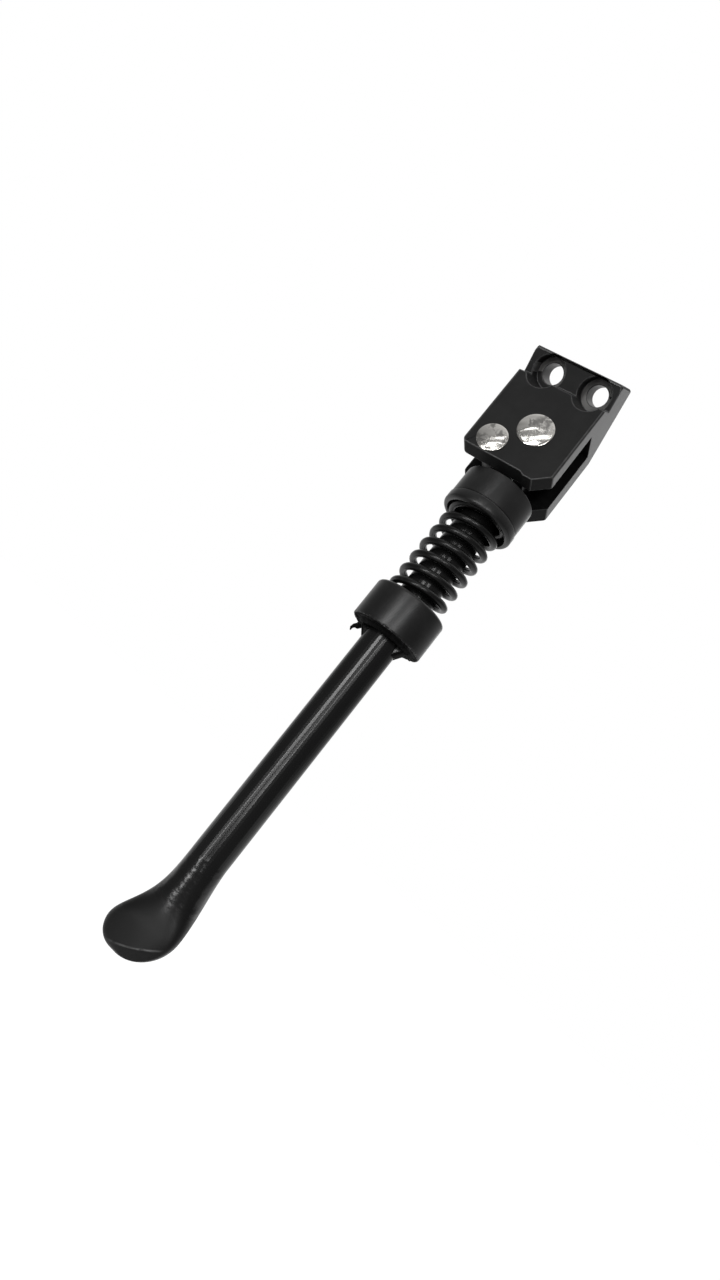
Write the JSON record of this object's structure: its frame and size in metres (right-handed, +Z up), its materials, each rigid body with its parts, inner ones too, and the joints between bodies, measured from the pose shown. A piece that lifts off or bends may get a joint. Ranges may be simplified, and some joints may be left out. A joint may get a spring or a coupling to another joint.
{
  "type": "scooter kickstand",
  "caption": "Folding kickstand: a round leg with a flared foot turns in a slotted bracket with a tilted bolt flange, held by a coil spring between cups on the leg.",
  "frame": {"origin": "on the bracket's tilted mounting face, midway between the two bolt holes", "axes": "+Z up along the leg from foot to bracket, +X to the side that the leg folds to, -Y the front with the rivet heads and counterbores"},
  "size_m": [0.0306, 0.0282, 0.2271],
  "materials": {
    "bracket_black": "black anodised, satin",
    "rivet_steel": "nickel plated, scuffed",
    "leg_paint": "black gloss paint on steel",
    "cup_plastic": "black, satin",
    "spring_black": "black coated spring wire"
  },
  "bodies": {
    "bracket": {"bracket": "bracket_black", "pivot_rivet": "rivet_steel", "stop_rivet": "rivet_steel"},
    "leg": {"leg": "leg_paint", "spring": "spring_black", "lower_collar": "cup_plastic"},
    "sliding_cup": {"upper_collar": "cup_plastic"}
  },
  "joints": [
    {"name": "leg_fold", "type": "hinge", "parent": "bracket", "child": "leg", "pos_m": [0.00155, -0.00148, -0.0303], "axis": [0, -1, 0], "range_deg": [0, 90]},
    {"name": "collar_slide", "type": "slide", "parent": "leg", "child": "sliding_cup", "axis": [0, 0, -1], "range_m": [0, 0.006], "stiffness_N_per_m": 10000, "deforming": ["spring"]}
  ]
}
